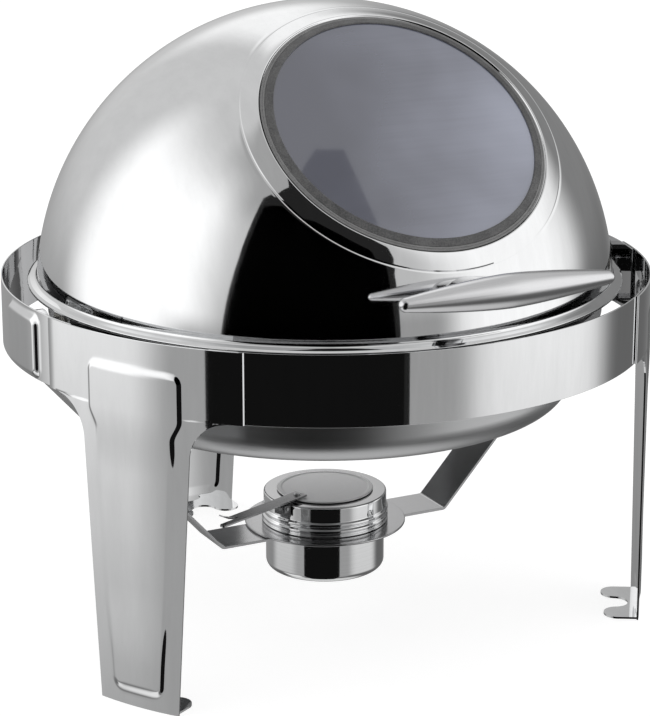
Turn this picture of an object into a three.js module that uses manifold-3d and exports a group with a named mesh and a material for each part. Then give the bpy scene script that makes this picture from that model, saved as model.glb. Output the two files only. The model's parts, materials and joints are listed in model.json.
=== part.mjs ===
// Round roll top chafer: a stand of three legs and a ring, a water pan and a food pan,
// a domed lid that rolls back about two side pivots, and a fuel holder under the pans.
// Millimetres, +Z up, the handle side faces -Y, and the floor is z = 0.
import * as THREE from 'three';
import { mergeVertices } from 'three/addons/utils/BufferGeometryUtils.js';
import Module from 'manifold-3d';

const wasm = await Module();
wasm.setup();

// ---------------------------------------------------------------- driving dimensions
const GAP = 0.3; // air between pieces that rest on each other
const SEGMENTS = { dome: 44, pan: 36, window: 36, cup: 28, small: 16 }; // facets of round pieces
const SHEET = 1.2; // stand sheet thickness

const RING_R = 229.9; // outside of the ring strips
const RING_BOTTOM = 207.7;
const RING_TOP = 256;
const LEG_R = 231.6; // outside of a leg's curved head, over the strips
const HEAD_HALF_DEG = 19.9; // half the sweep of a leg's head
const TUCK_DEG = 6; // how far a strip reaches in behind a leg's head
const LEG_DEG = { leg_front_left: 210, leg_front_right: 330, leg_back: 90 };
const LEG_HALF_FLOOR = 32; // half width of the shank at the floor
const LEG_TAPER = 0.059; // growth of that half width for each mm of height
const FLARE_R = 28; // fillet between shank and head
const RAISE = 3; // height of the pressed panels
const RAISE_SLOPE = 3.5; // width of their sloped edge

const PIVOT_Z = 239.3; // lid axis, and centre of the dome
const DOME_R = 205.2;
const DOME_T = 1.2;
const LIP_R = 211.5; // rolled edge of the lid
const LIP_BOTTOM = 249.4;
const WINDOW_DEG = 49.5; // elevation of the window's axis
const CREASE = { r: 111.4, d: 171.7 }; // where the dome steps in to the window's seat; d along its axis
const CREST = { r: 101.2, d: 177.4 }; // ridge round the gasket
const SEAT_D = 176.2; // distance of the gasket's seat from the dome's centre
const SEAT_R = 96; // hole in the seat
const GASKET_R = 99.8;
const GLASS_VISIBLE_R = 91.4;
const GLASS_R = 92.4;

const HANDLE_Z = 296;
const HANDLE_Y = -251;
const HANDLE_HALF = 78.5;
const HANDLE_R = 11.2;

const PAN_BOTTOM = 162.5;
const PAN_WALL_R = 178;
const PAN_RIM_R = 197.5;
const PAN_RIM_Z = 238;
const PAN_T = 1.2;
const FOOD_FLOOR_Z = 170.6; // middle of the food pan's floor sheet
const FOOD_RIM_Z = 230.2;
const FOOD_RIM_R = 191;

const PLATE_Z = 62.7; // underside of the burner plate
const PLATE_T = 1.5;
const PLATE_R = 58.9;
const ARM_WIDTH = 36;
const ARM_BEND_X = 91; // where a bracket arm turns up
const ARM_TOP_Z = 212.5;
const CUP_R = 43.4;
const CUP_BOTTOM = 28.5;
const CAP_R = 45;
const CAP_TOP = 86.5;
const SNUFFER_DEG = 201.6; // direction in which the snuffer's lever points
const SNUFFER_R = 35.3;
const SNUFFER_HINGE_R = 49.5;
const SNUFFER_HINGE_Z = 85.5;
const LEVER_END = 114;
const LEVER_WIDTH = 11;
const LEVER_Z = 88.5;

// The origin is under the middle of the object's box, which runs from the grip's front
// to the back leg's pressed panel.
const SHIFT_Y = (-(HANDLE_Y - HANDLE_R) - (LEG_R + RAISE)) / 2;

// ---------------------------------------------------------------- materials
const steel = (color, roughness) => new THREE.MeshStandardMaterial({ color, roughness, metalness: 1 });
const MIRROR = () => steel(0xd9dadc, 0.08);
const SATIN = () => steel(0xb9babc, 0.35);
const DARK_RUBBER = () => new THREE.MeshStandardMaterial({ color: 0x3a3b3d, roughness: 0.6, metalness: 0 });
const NYLON = () => new THREE.MeshStandardMaterial({ color: 0xe4e2da, roughness: 0.5, metalness: 0 });
const GLASS = () => new THREE.MeshStandardMaterial({ color: 0x8b91a0, roughness: 0.05, metalness: 0 });

// ---------------------------------------------------------------- geometry helpers
const rad = THREE.MathUtils.degToRad;
const deg = THREE.MathUtils.radToDeg;
const lerp = THREE.MathUtils.lerp;

// Points from angle a to angle b, in degrees, on a circle.
function arc(cx, cy, r, a, b, steps) {
  const angles = Array.from({ length: steps + 1 }, (_, i) => rad(lerp(a, b, i / steps)));
  return angles.map((t) => new THREE.Vector2(cx + r * Math.cos(t), cy + r * Math.sin(t)));
}

function v2(x, y) {
  return new THREE.Vector2(x, y);
}

function volume(geometry) {
  const p = geometry.getAttribute('position');
  const index = geometry.index.array;
  const [a, b, c] = [new THREE.Vector3(), new THREE.Vector3(), new THREE.Vector3()];
  let sum = 0;
  for (let i = 0; i < index.length; i += 3) {
    a.fromBufferAttribute(p, index[i]);
    b.fromBufferAttribute(p, index[i + 1]);
    c.fromBufferAttribute(p, index[i + 2]);
    sum += a.dot(b.cross(c));
  }
  return sum;
}

// Position-only copy with shared vertices and outward faces.
function welded(geometry) {
  geometry.deleteAttribute('normal');
  geometry.deleteAttribute('uv');
  const merged = mergeVertices(geometry, 1e-4);
  if (volume(merged) < 0) {
    const index = merged.index.array;
    for (let i = 0; i < index.length; i += 3) {
      [index[i], index[i + 1]] = [index[i + 1], index[i]];
    }
  }
  return merged;
}

function solid(geometry) {
  const merged = welded(geometry);
  const vertProperties = new Float32Array(merged.getAttribute('position').array);
  const triVerts = new Uint32Array(merged.index.array);
  const mesh = new wasm.Mesh({ numProp: 3, vertProperties, triVerts });
  mesh.merge();
  return new wasm.Manifold(mesh);
}

function geometryOf(manifold) {
  const mesh = manifold.getMesh();
  const geometry = new THREE.BufferGeometry();
  geometry.setAttribute('position', new THREE.BufferAttribute(new Float32Array(mesh.vertProperties), 3));
  geometry.setIndex(Array.from(mesh.triVerts));
  return geometry;
}

function join(...geometries) {
  return geometryOf(geometries.map(solid).reduce((a, b) => a.add(b)));
}

function cut(geometry, ...tools) {
  return geometryOf(tools.map(solid).reduce((a, b) => a.subtract(b), solid(geometry)));
}

// Closed sheet between two matching grids of points.
function slab(front, back) {
  const rows = front.length;
  const columns = front[0].length;
  const points = [...front.flat(), ...back.flat()];
  const id = (side, i, j) => side * rows * columns + i * columns + j;
  const index = [];
  const quad = (a, b, c, d) => index.push(a, b, c, a, c, d);
  for (let i = 0; i < rows - 1; i++) {
    for (let j = 0; j < columns - 1; j++) {
      quad(id(0, i, j), id(0, i + 1, j), id(0, i + 1, j + 1), id(0, i, j + 1));
      quad(id(1, i, j), id(1, i, j + 1), id(1, i + 1, j + 1), id(1, i + 1, j));
    }
    quad(id(0, i + 1, 0), id(0, i, 0), id(1, i, 0), id(1, i + 1, 0));
    const end = columns - 1;
    quad(id(0, i, end), id(0, i + 1, end), id(1, i + 1, end), id(1, i, end));
  }
  for (let j = 0; j < columns - 1; j++) {
    quad(id(0, 0, j), id(0, 0, j + 1), id(1, 0, j + 1), id(1, 0, j));
    const last = rows - 1;
    quad(id(0, last, j + 1), id(0, last, j), id(1, last, j), id(1, last, j + 1));
  }
  const geometry = new THREE.BufferGeometry().setFromPoints(points);
  geometry.setIndex(index);
  return geometry;
}

// Sheet bent round the Z axis. Each row is {z, columns: [[degrees, raise], ...]}.
function bentSheet(rows, outerR) {
  const at = (r, t, z) => new THREE.Vector3(r * Math.cos(t), r * Math.sin(t), z);
  const bent = (r, { z, columns }) => columns.map(([angle, raise]) => at(r + raise, rad(angle), z));
  const grid = (r) => rows.map((row) => bent(r, row));
  return slab(grid(outerR), grid(outerR - SHEET));
}

// Solid of revolution about Z from a closed outline of (radius, height) points.
function turned(outline, segments) {
  const closed = [...outline, outline[0].clone()];
  const geometry = new THREE.LatheGeometry(closed, segments);
  geometry.rotateX(Math.PI / 2);
  return geometry;
}

function extruded(points, depth, holes = []) {
  const shape = new THREE.Shape(points);
  shape.holes = holes.map((hole) => new THREE.Path(hole));
  return new THREE.ExtrudeGeometry(shape, { depth, bevelEnabled: false });
}

// Outline of a strip of constant thickness along an open line of points.
function stripOutline(line, thickness) {
  const side = (sign) => line.map((p, i) => {
    const before = line[Math.max(i - 1, 0)];
    const after = line[Math.min(i + 1, line.length - 1)];
    const from = (i === 0 ? after.clone().sub(p) : p.clone().sub(before)).normalize();
    const to = (i === line.length - 1 ? p.clone().sub(before) : after.clone().sub(p)).normalize();
    const normal = v2(-(from.y + to.y), from.x + to.x).normalize();
    const reach = thickness / 2 / normal.dot(v2(-from.y, from.x));
    return p.clone().addScaledVector(normal, sign * reach);
  });
  return [...side(1), ...side(-1).reverse()];
}

// Strip with its profile in the XZ plane, centred on y = 0.
function bentStrip(line, thickness, width) {
  const geometry = extruded(stripOutline(line, thickness), width);
  geometry.rotateX(Math.PI / 2);
  geometry.translate(0, width / 2, 0);
  return geometry;
}

// Cylinder along X from x0 to x1.
function bar(x0, x1, r, segments = SEGMENTS.small) {
  const geometry = new THREE.CylinderGeometry(r, r, Math.abs(x1 - x0), segments);
  geometry.rotateZ(Math.PI / 2);
  geometry.translate((x0 + x1) / 2, 0, 0);
  return geometry;
}

function post(z0, z1, r, segments = SEGMENTS.small) {
  const geometry = new THREE.CylinderGeometry(r, r, z1 - z0, segments);
  geometry.rotateX(Math.PI / 2);
  geometry.translate(0, 0, (z0 + z1) / 2);
  return geometry;
}

function block(x0, x1, y0, y1, z0, z1) {
  const geometry = new THREE.BoxGeometry(x1 - x0, y1 - y0, z1 - z0);
  geometry.translate((x0 + x1) / 2, (y0 + y1) / 2, (z0 + z1) / 2);
  return geometry;
}

// ---------------------------------------------------------------- scene graph
const chafer = new THREE.Group();
chafer.name = 'roll_top_chafer';
chafer.position.y = SHIFT_Y;

const lidAxis = new THREE.Group(); // pieces placed from the lid's axis
lidAxis.position.z = PIVOT_Z;
const windowAxis = new THREE.Group(); // its own +Z runs out through the window
windowAxis.rotation.x = rad(90 - WINDOW_DEG);
lidAxis.add(windowAxis);
const lever = new THREE.Group(); // its own +X runs along the snuffer's lever
lever.rotation.z = rad(SNUFFER_DEG);
chafer.add(lidAxis, lever);

function piece(name, geometry, material, parent = chafer) {
  const mesh = new THREE.Mesh(welded(geometry), material);
  mesh.name = name;
  parent.add(mesh);
  return mesh;
}

// ---------------------------------------------------------------- legs
const HEAD_ARC_Z = RING_BOTTOM - FLARE_R;

function legHalfWidth(z) {
  const shank = LEG_HALF_FLOOR + LEG_TAPER * Math.min(z, HEAD_ARC_Z);
  const rise = Math.max(z - HEAD_ARC_Z, 0);
  return shank + FLARE_R - Math.sqrt(Math.max(FLARE_R ** 2 - rise ** 2, 0));
}

// The pressed panel widens at its shoulder, between the heights from and to.
const LEG_PANEL = {
  bottom: 16, top: 232, corner: 8, narrow: 16.6, taper: 0.0614, wide: 34.6, from: 191, to: 206,
};
const CORNER_SHARE = 0.7; // how much of a full round the panel's lower corners have

function legPanelHalfWidth(z) {
  const p = LEG_PANEL;
  const tapered = p.narrow + p.taper * Math.min(z, p.from);
  const shoulder = THREE.MathUtils.smoothstep(z, p.from, p.to);
  const inCorner = THREE.MathUtils.clamp(p.corner - (z - p.bottom), 0, p.corner);
  const cornerInset = p.corner - Math.sqrt(p.corner ** 2 - inCorner ** 2);
  return lerp(tapered, p.wide, shoulder) - cornerInset * CORNER_SHARE;
}

function legRow(z, halfDeg) {
  const p = LEG_PANEL;
  const raise = z >= p.bottom && z <= p.top ? RAISE : 0;
  const toDeg = (mm) => deg(mm / LEG_R);
  const panel = toDeg(legPanelHalfWidth(THREE.MathUtils.clamp(z, p.bottom, p.top)));
  const foot = panel + toDeg(RAISE_SLOPE);
  const half = [[panel / 2, raise], [panel, raise], [foot, 0], [(foot + halfDeg) / 2, 0], [halfDeg, 0]];
  const mirrored = half.map(([angle, lift]) => [-angle, lift]).reverse();
  return { z, columns: [...mirrored, [0, raise], ...half] };
}

function legSheet() {
  const shank = [0, 12.5, 16, 19, 24, 100, HEAD_ARC_Z, 191, 198.5, 204, 207];
  const head = [RING_BOTTOM, LEG_PANEL.top, LEG_PANEL.top + RAISE_SLOPE, RING_TOP];
  const rows = [
    ...shank.map((z) => legRow(z, deg(legHalfWidth(z) / LEG_R))),
    ...head.map((z) => legRow(z, HEAD_HALF_DEG)),
  ];
  return bentSheet(rows, LEG_R);
}

// The foot is turned in along the floor and slotted, leaving two round-ended prongs.
const FOOT = { half: 30, tipR: 205, slot: 10, slotEndR: 224, thickness: 1.5 };

function footTab() {
  const prong = (FOOT.half - FOOT.slot) / 2;
  const prongY = FOOT.half - prong;
  const wrapR = LEG_R - SHEET / 2;
  const wrapDeg = deg(Math.asin(FOOT.half / wrapR));
  const outline = [
    ...arc(0, 0, wrapR, -wrapDeg, wrapDeg, 4),
    ...arc(FOOT.tipR + prong, prongY, prong, 90, 270, 8),
    ...arc(FOOT.slotEndR - FOOT.slot, 0, FOOT.slot, 90, -90, 8),
    ...arc(FOOT.tipR + prong, -prongY, prong, 90, 270, 8),
  ];
  return extruded(outline, FOOT.thickness);
}

function addLegs() {
  for (const [name, angle] of Object.entries(LEG_DEG)) {
    const leg = piece(name, join(legSheet(), footTab()), MIRROR());
    leg.rotation.z = rad(angle);
  }
}

// ---------------------------------------------------------------- ring strips
const PIVOT_PANEL = { bottom: 210.5, top: 251.5, halfDeg: 6.6, corner: 6, slope: 2, raise: 3.3 };
const COLUMN_DEG = 6; // facet width along the strips

function plainColumns(from, to) {
  const steps = Math.round((to - from) / COLUMN_DEG);
  return Array.from({ length: steps + 1 }, (_, i) => [lerp(from, to, i / steps), 0]);
}

function frontStrip() {
  const from = LEG_DEG.leg_front_left + HEAD_HALF_DEG - TUCK_DEG;
  const to = LEG_DEG.leg_front_right - HEAD_HALF_DEG + TUCK_DEG;
  const columns = plainColumns(from, to);
  return bentSheet([RING_BOTTOM, RING_TOP].map((z) => ({ z, columns })), RING_R);
}

// The left strip; its pressed panel at 180 degrees covers the lid's pivot.
function sideStrip() {
  const p = PIVOT_PANEL;
  const slope = deg(RAISE_SLOPE / RING_R);
  const from = LEG_DEG.leg_back + HEAD_HALF_DEG - TUCK_DEG;
  const to = LEG_DEG.leg_front_left - HEAD_HALF_DEG + TUCK_DEG;
  const cornerDeg = deg(p.corner / RING_R);
  const row = (z, raise, inset) => {
    const edge = p.halfDeg - inset;
    const left = plainColumns(from, 180 - p.halfDeg - slope * 2);
    const right = plainColumns(180 + p.halfDeg + slope * 2, to);
    const panel = [[-edge - slope, 0], [-edge, raise], [-edge / 3, raise], [0, raise],
      [edge / 3, raise], [edge, raise], [edge + slope, 0]];
    return { z, columns: [...left, ...panel.map(([angle, lift]) => [180 + angle, lift]), ...right] };
  };
  const rows = [
    row(RING_BOTTOM, 0, cornerDeg),
    row(p.bottom, p.raise, cornerDeg),
    row(p.bottom + p.slope, p.raise, cornerDeg / 3),
    row(p.bottom + p.corner, p.raise, 0),
    row(p.top - p.corner, p.raise, 0),
    row(p.top - p.slope, p.raise, cornerDeg / 3),
    row(p.top, p.raise, cornerDeg),
    row(p.top + p.slope, 0, cornerDeg),
    row(RING_TOP, 0, cornerDeg),
  ];
  return bentSheet(rows, RING_R);
}

function mirroredX(geometry) {
  const copy = geometry.clone();
  copy.scale(-1, 1, 1);
  return copy;
}

function addStrips() {
  piece('ring_strip_front', frontStrip(), MIRROR());
  piece('ring_strip_left', sideStrip(), MIRROR());
  piece('ring_strip_right', mirroredX(sideStrip()), MIRROR());
}

// ---------------------------------------------------------------- lid pivots
const PIN_R = 4;
const PIN_HEAD = { from: 228.6, to: 231, r: 7 };
const BRACKET = { back: 227.9, front: 214, half: 13.5, wall: 2, archDrop: 3, footDrop: 13 };
const RUN_FIT = 0.15; // radial play of the pin in its bush
const EAR_R = 202.4; // outside of the ear, just inside the dome
const EAR_T = 1.5;
const BUSH_R = 6;

// Arched clip: an open-backed housing on the ring whose front plate carries the pin.
function archProfile(half) {
  const archZ = PIVOT_Z - BRACKET.archDrop;
  const foot = PIVOT_Z - BRACKET.footDrop;
  return [v2(-half, foot), v2(half, foot), ...arc(0, archZ, half, 0, 180, 12)];
}

function archPrism(half, x0, x1) {
  const geometry = extruded(archProfile(half), x1 - x0);
  geometry.rotateX(Math.PI / 2);
  geometry.rotateZ(Math.PI / 2);
  geometry.translate(x0, 0, 0);
  return geometry;
}

function pivotBracket() {
  const b = BRACKET;
  const body = archPrism(b.half, b.front, b.back);
  const hollow = archPrism(b.half - b.wall, b.front + b.wall, b.back + 1);
  const hole = bar(b.front - 1, b.back, PIN_R + GAP);
  hole.translate(0, 0, PIVOT_Z);
  return cut(body, hollow, hole);
}

function pivotPin() {
  const inner = EAR_R - EAR_T - 1.9;
  const shank = bar(inner, PIN_HEAD.from + 0.6, PIN_R);
  const head = bar(PIN_HEAD.from, PIN_HEAD.to, PIN_HEAD.r, 6);
  return join(shank, head);
}

function circlip() {
  const outer = EAR_R - EAR_T - 0.5;
  const ring = bar(outer - 1, outer, PIN_R + 2);
  return cut(ring, bar(outer - 2, outer + 1, PIN_R + RUN_FIT));
}

// Curved lug that follows the inside of the dome down past the axis.
const EAR = { half: 12, low: -11, high: 33 }; // its width and reach about the axis

function lidEar() {
  const { half, low, high } = EAR;
  const cell = (r, y, z) => new THREE.Vector3(Math.sqrt(r * r - y * y - z * z), y, z);
  const ys = [-half, -half / 2, 0, half / 2, half];
  const zs = [low, 0, -low, -2 * low, high];
  const grid = (r) => zs.map((z) => ys.map((y) => cell(r, y, z)));
  return cut(slab(grid(EAR_R), grid(EAR_R - EAR_T)), bar(EAR_R - 10, EAR_R + 10, BUSH_R + GAP));
}

function pivotBush() {
  const sleeve = bar(EAR_R - EAR_T - 0.2, EAR_R + 1.2, BUSH_R);
  const flange = bar(EAR_R + 0.3, EAR_R + 1.5, BUSH_R + 3);
  return cut(join(sleeve, flange), bar(EAR_R - 10, EAR_R + 10, PIN_R + RUN_FIT));
}

function addPivots() {
  for (const [side, turn] of [['right', 0], ['left', Math.PI]]) {
    piece(`pivot_bracket_${side}`, pivotBracket(), SATIN()).rotation.z = turn;
    piece(`pivot_pin_${side}`, pivotPin(), SATIN(), lidAxis).rotation.z = turn;
    piece(`pivot_circlip_${side}`, circlip(), SATIN(), lidAxis).rotation.z = turn;
    piece(`lid_ear_${side}`, lidEar(), SATIN(), lidAxis).rotation.z = turn;
    piece(`pivot_bush_${side}`, pivotBush(), NYLON(), lidAxis).rotation.z = turn;
  }
}

// ---------------------------------------------------------------- lid
// Half section of the dome: outside from lip to crown, then back down the inside.
function domeOutline() {
  const lip = LIP_BOTTOM - PIVOT_Z;
  const crown = 90;
  const start = 7; // elevation at which the flared lip meets the sphere
  const steps = 10;
  const inner = DOME_R - DOME_T;
  const outside = arc(0, 0, DOME_R, start, crown, steps);
  const inside = arc(0, 0, inner, crown, start, steps);
  return [
    v2(LIP_R - 1.2, lip), v2(LIP_R, lip + 1.4), v2(LIP_R, lip + 4.2),
    v2(LIP_R - 1.6, lip + 5.8), v2(LIP_R - 5.4, lip + 9),
    ...outside,
    ...inside,
    v2(LIP_R - 6.9, lip + 9), v2(LIP_R - 3.6, lip + 4.6), v2(LIP_R - 3, lip),
  ];
}

function dome() {
  const outline = domeOutline();
  outline.forEach((p) => {
    if (Math.abs(p.x) < 1e-6) p.x = 0;
  });
  return turned(outline, SEGMENTS.dome);
}

// Square block that takes off the cap of the dome beyond the window's crease.
function creaseCutter() {
  const half = CREASE.r + 40;
  const geometry = block(-half, half, -half, half, CREASE.d, CREASE.d + 60);
  geometry.applyMatrix4(new THREE.Matrix4().makeRotationX(rad(90 - WINDOW_DEG)));
  return geometry;
}

// Ring that closes the cut: it rises from the crease to a low crest, then drops to the gasket's seat.
function windowSeat() {
  const geometry = turned([
    v2(SEAT_R, SEAT_D - DOME_T - 0.1), v2(GASKET_R - 0.3, SEAT_D - DOME_T),
    v2(CREST.r + 0.3, CREST.d - DOME_T * 1.4), v2(CREASE.r - 1, CREASE.d - DOME_T - 0.4),
    v2(CREASE.r - 0.1, CREASE.d - 0.1), v2(CREST.r, CREST.d),
    v2(GASKET_R + 0.3, SEAT_D), v2(SEAT_R, SEAT_D - 0.1),
  ], SEGMENTS.dome);
  geometry.applyMatrix4(new THREE.Matrix4().makeRotationX(rad(90 - WINDOW_DEG)));
  return geometry;
}

const STEM = { halfX: 14, halfZ: 8, screwX: 7, screwR: 2.5 };
const STEM_DEG = deg(Math.atan2(HANDLE_Z - PIVOT_Z, -HANDLE_Y));
const STEM_END = Math.hypot(HANDLE_Y, HANDLE_Z - PIVOT_Z);

// Puts something built along +X on the line from the dome's centre to the grip.
function towardsGrip(geometry) {
  geometry.rotateY(-rad(STEM_DEG));
  geometry.rotateZ(-Math.PI / 2);
  return geometry;
}

function stemScrewHole(x) {
  const hole = bar(DOME_R - 12, DOME_R + 12, STEM.screwR + GAP, 12);
  hole.translate(0, x, 0);
  return towardsGrip(hole);
}

function lidShell() {
  const open = cut(dome(), creaseCutter());
  return cut(join(open, windowSeat()), stemScrewHole(-STEM.screwX), stemScrewHole(STEM.screwX));
}

const GLASS_D = { under: SEAT_D - 1.9, top: SEAT_D + 2.5 };

// Holds the glass's edge in one groove and the seat's edge in another.
function gasket() {
  const slot = GLASS_R + GAP;
  return turned([
    v2(GLASS_VISIBLE_R, GLASS_D.top + GAP), v2(slot, GLASS_D.top + GAP), v2(slot, GLASS_D.under - GAP),
    v2(GLASS_VISIBLE_R, GLASS_D.under - GAP), v2(GLASS_VISIBLE_R, SEAT_D - 3.6),
    v2(GASKET_R, SEAT_D - 3.6), v2(GASKET_R, SEAT_D - 2), v2(SEAT_R - GAP, SEAT_D - 2),
    v2(SEAT_R - GAP, SEAT_D + GAP), v2(GASKET_R, SEAT_D + GAP), v2(GASKET_R - 0.5, SEAT_D + 0.9),
    v2(GASKET_R - 2.8, SEAT_D + 1.3), v2(GLASS_VISIBLE_R + 0.5, GLASS_D.top + 1.1),
  ], SEGMENTS.window);
}

function retainer() {
  const [under, top, outside] = [SEAT_D - 5.2, SEAT_D - 3.9, GASKET_R + 1];
  return turned([
    v2(GLASS_VISIBLE_R, under), v2(outside, under), v2(outside, top), v2(GLASS_VISIBLE_R, top),
  ], SEGMENTS.window);
}

// Half thickness of the grip at a share s of its half length.
function gripRadius(s) {
  return HANDLE_R * (1 - 0.72 * s ** 1.57);
}

function grip() {
  const tip = gripRadius(1);
  const straight = HANDLE_HALF - tip;
  const steps = 7;
  const shares = Array.from({ length: steps + 1 }, (_, i) => i / steps);
  const side = shares.map((s) => v2(gripRadius(s), straight * s));
  const round = arc(0, straight, tip, 22.5, 90, 3);
  round[round.length - 1].x = 0;
  const half = [...side, ...round];
  const otherHalf = half.slice(1).reverse().map((p) => v2(p.x, -p.y));
  const geometry = new THREE.LatheGeometry([...otherHalf, ...half], SEGMENTS.small);
  geometry.rotateZ(Math.PI / 2);
  geometry.translate(0, HANDLE_Y, HANDLE_Z - PIVOT_Z);
  return geometry;
}

// Oval stem between dome and grip, cut to both, with two blind screw holes.
const STEM_SINK = 10; // length that is cut away again where the stem meets the dome

function stem() {
  const fit = 1 + GAP / HANDLE_R + 0.01;
  const circle = arc(0, 0, 1, 0, 360, 24).slice(0, -1);
  const points = circle.map((p) => v2(STEM.halfZ * p.x, STEM.halfX * p.y));
  const geometry = extruded(points, STEM_END - DOME_R + STEM_SINK);
  geometry.rotateY(Math.PI / 2);
  geometry.translate(DOME_R - STEM_SINK, 0, 0);
  const space = new THREE.SphereGeometry(DOME_R + GAP, 72, 48);
  const gripSpace = grip();
  gripSpace.translate(0, -HANDLE_Y, PIVOT_Z - HANDLE_Z);
  gripSpace.scale(1.01, fit, fit);
  gripSpace.translate(0, HANDLE_Y, HANDLE_Z - PIVOT_Z);
  const holes = [-STEM.screwX, STEM.screwX].map(stemScrewHole);
  return cut(towardsGrip(geometry), space, gripSpace, ...holes);
}

const PLATE_TOP = DOME_R - DOME_T - 1.7; // outer face of the backing plate inside the dome
const BACKING = { t: 1.2, halfX: 15, halfZ: 7 };

function stemScrew(x) {
  const seat = PLATE_TOP - BACKING.t - GAP;
  const shank = bar(seat - 0.3, DOME_R + 11, STEM.screwR, 12);
  const head = bar(seat - 2.9, seat, STEM.screwR * 1.9, 12);
  const screw = join(shank, head);
  screw.translate(0, x, 0);
  return towardsGrip(screw);
}

function stemWasher() {
  const outer = PLATE_TOP;
  const { t, halfX, halfZ } = BACKING;
  const plate = block(outer - t, outer, -halfX, halfX, -halfZ, halfZ);
  const holes = [-STEM.screwX, STEM.screwX].map((y) => {
    const hole = bar(outer - 3, outer + 2, STEM.screwR + GAP, 12);
    hole.translate(0, y, 0);
    return hole;
  });
  return towardsGrip(cut(plate, ...holes));
}

function addLid() {
  piece('lid_shell', lidShell(), MIRROR(), lidAxis);
  piece('window_gasket', gasket(), DARK_RUBBER(), windowAxis);
  piece('window_glass', post(GLASS_D.under, GLASS_D.top, GLASS_R, SEGMENTS.window), GLASS(), windowAxis);
  piece('window_retainer', retainer(), SATIN(), windowAxis);
  piece('lid_handle', grip(), SATIN(), lidAxis);
  piece('handle_stem', stem(), SATIN(), lidAxis);
  piece('handle_backing_plate', stemWasher(), SATIN(), lidAxis);
  piece('handle_screw_left', stemScrew(-STEM.screwX), SATIN(), lidAxis);
  piece('handle_screw_right', stemScrew(STEM.screwX), SATIN(), lidAxis);
}

// ---------------------------------------------------------------- pans
// Offsets a radius-height line inwards to make the section of a thin pan.
function panSection(line, thickness) {
  const outline = stripOutline(line, thickness);
  outline.forEach((p) => {
    p.x = Math.max(p.x, 0);
  });
  outline[0].x = 0;
  outline[outline.length - 1].x = 0;
  return outline;
}

function waterPan() {
  const half = PAN_T / 2;
  return turned(panSection([
    v2(0, PAN_BOTTOM + half), ...arc(PAN_WALL_R - 20, PAN_BOTTOM + half + 18, 18, -90, -4, 3),
    v2(PAN_WALL_R - half, 213), v2(182, 221), v2(188, 225.4), v2(PAN_RIM_R - 2, 227),
    v2(PAN_RIM_R - half, 229.5), v2(PAN_RIM_R - half, PAN_RIM_Z),
  ], PAN_T), SEGMENTS.pan);
}

function foodPan() {
  const corner = 14;
  return turned(panSection([
    v2(0, FOOD_FLOOR_Z), ...arc(150, FOOD_FLOOR_Z + corner, corner, -90, -10, 3),
    v2(171, 222), v2(174, 228), v2(179, FOOD_RIM_Z), v2(FOOD_RIM_R, FOOD_RIM_Z),
  ], PAN_T), SEGMENTS.pan);
}

// Z-shaped strips from the ring's inside to the water pan's shoulder, all in front of
// the lid's axis, where the lid never passes.
const SUPPORT_DEG = { side_right: -7, front_right: -62, front_left: -118, side_left: -173 };

function panSupport() {
  const wallR = 227.2;
  const ledgeZ = 210;
  const line = [v2(wallR, 224), v2(wallR, ledgeZ), v2(181, ledgeZ), v2(179.8, ledgeZ + 2.5)];
  return bentStrip(line, 1.6, 14);
}

function addPans() {
  piece('water_pan', waterPan(), SATIN());
  piece('food_pan', foodPan(), SATIN());
  for (const [side, angle] of Object.entries(SUPPORT_DEG)) {
    piece(`pan_support_${side}`, panSupport(), SATIN()).rotation.z = rad(angle);
  }
}

// ---------------------------------------------------------------- burner bracket
function burnerArm() {
  const thickness = 2;
  const wallX = 226.4;
  const z = PLATE_Z - GAP - thickness / 2;
  const line = [v2(46.5, z), v2(ARM_BEND_X, z), v2(wallX, ARM_TOP_Z), v2(wallX, ARM_TOP_Z + 12)];
  return bentStrip(line, thickness, ARM_WIDTH);
}

function burnerPlate() {
  const hole = arc(0, 0, CUP_R + 0.7, 0, 360, SEGMENTS.cup).slice(0, -1);
  const geometry = extruded(arc(0, 0, PLATE_R, 0, 360, SEGMENTS.pan).slice(0, -1), PLATE_T, [hole]);
  geometry.translate(0, 0, PLATE_Z);
  return geometry;
}

function addBurnerBracket() {
  piece('burner_arm_right', burnerArm(), MIRROR());
  piece('burner_arm_left', burnerArm(), MIRROR()).rotation.z = Math.PI;
  piece('burner_plate', burnerPlate(), MIRROR());
}

// ---------------------------------------------------------------- fuel holder
function fuelCup() {
  const wall = 0.9;
  const corner = 5;
  const floorZ = CUP_BOTTOM + wall / 2;
  return turned(panSection([
    v2(0, floorZ), ...arc(CUP_R - corner, CUP_BOTTOM + corner, corner - wall / 2, -90, 0, 3),
    v2(CUP_R - wall / 2, CAP_TOP - 1.6),
  ], wall), SEGMENTS.cup);
}

// Collar that slips over the cup: two rolled beads low down and an inturned top.
function fuelCap() {
  const wall = 1;
  const bottom = PLATE_Z + PLATE_T + GAP;
  const inner = CUP_R + 0.5;
  const mouth = 33; // radius of the opening that the flame comes through
  const bead = (z) => [v2(CAP_R, z - 2), v2(CAP_R + 1.1, z), v2(CAP_R, z + 2)];
  return turned([
    v2(inner, bottom), v2(CAP_R + 1, bottom), v2(CAP_R + 1.2, bottom + 1),
    ...bead(bottom + 4), ...bead(bottom + 9),
    v2(CAP_R, CAP_TOP - 0.8), v2(CAP_R - 0.8, CAP_TOP), v2(mouth, CAP_TOP),
    v2(mouth, CAP_TOP - wall), v2(inner, CAP_TOP - wall),
  ], SEGMENTS.cup);
}

const HINGE = { t: 1.2, pinR: 1.2, holeR: 1.35, pinHalf: 8, knuckleR: 2.6 };

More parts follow.
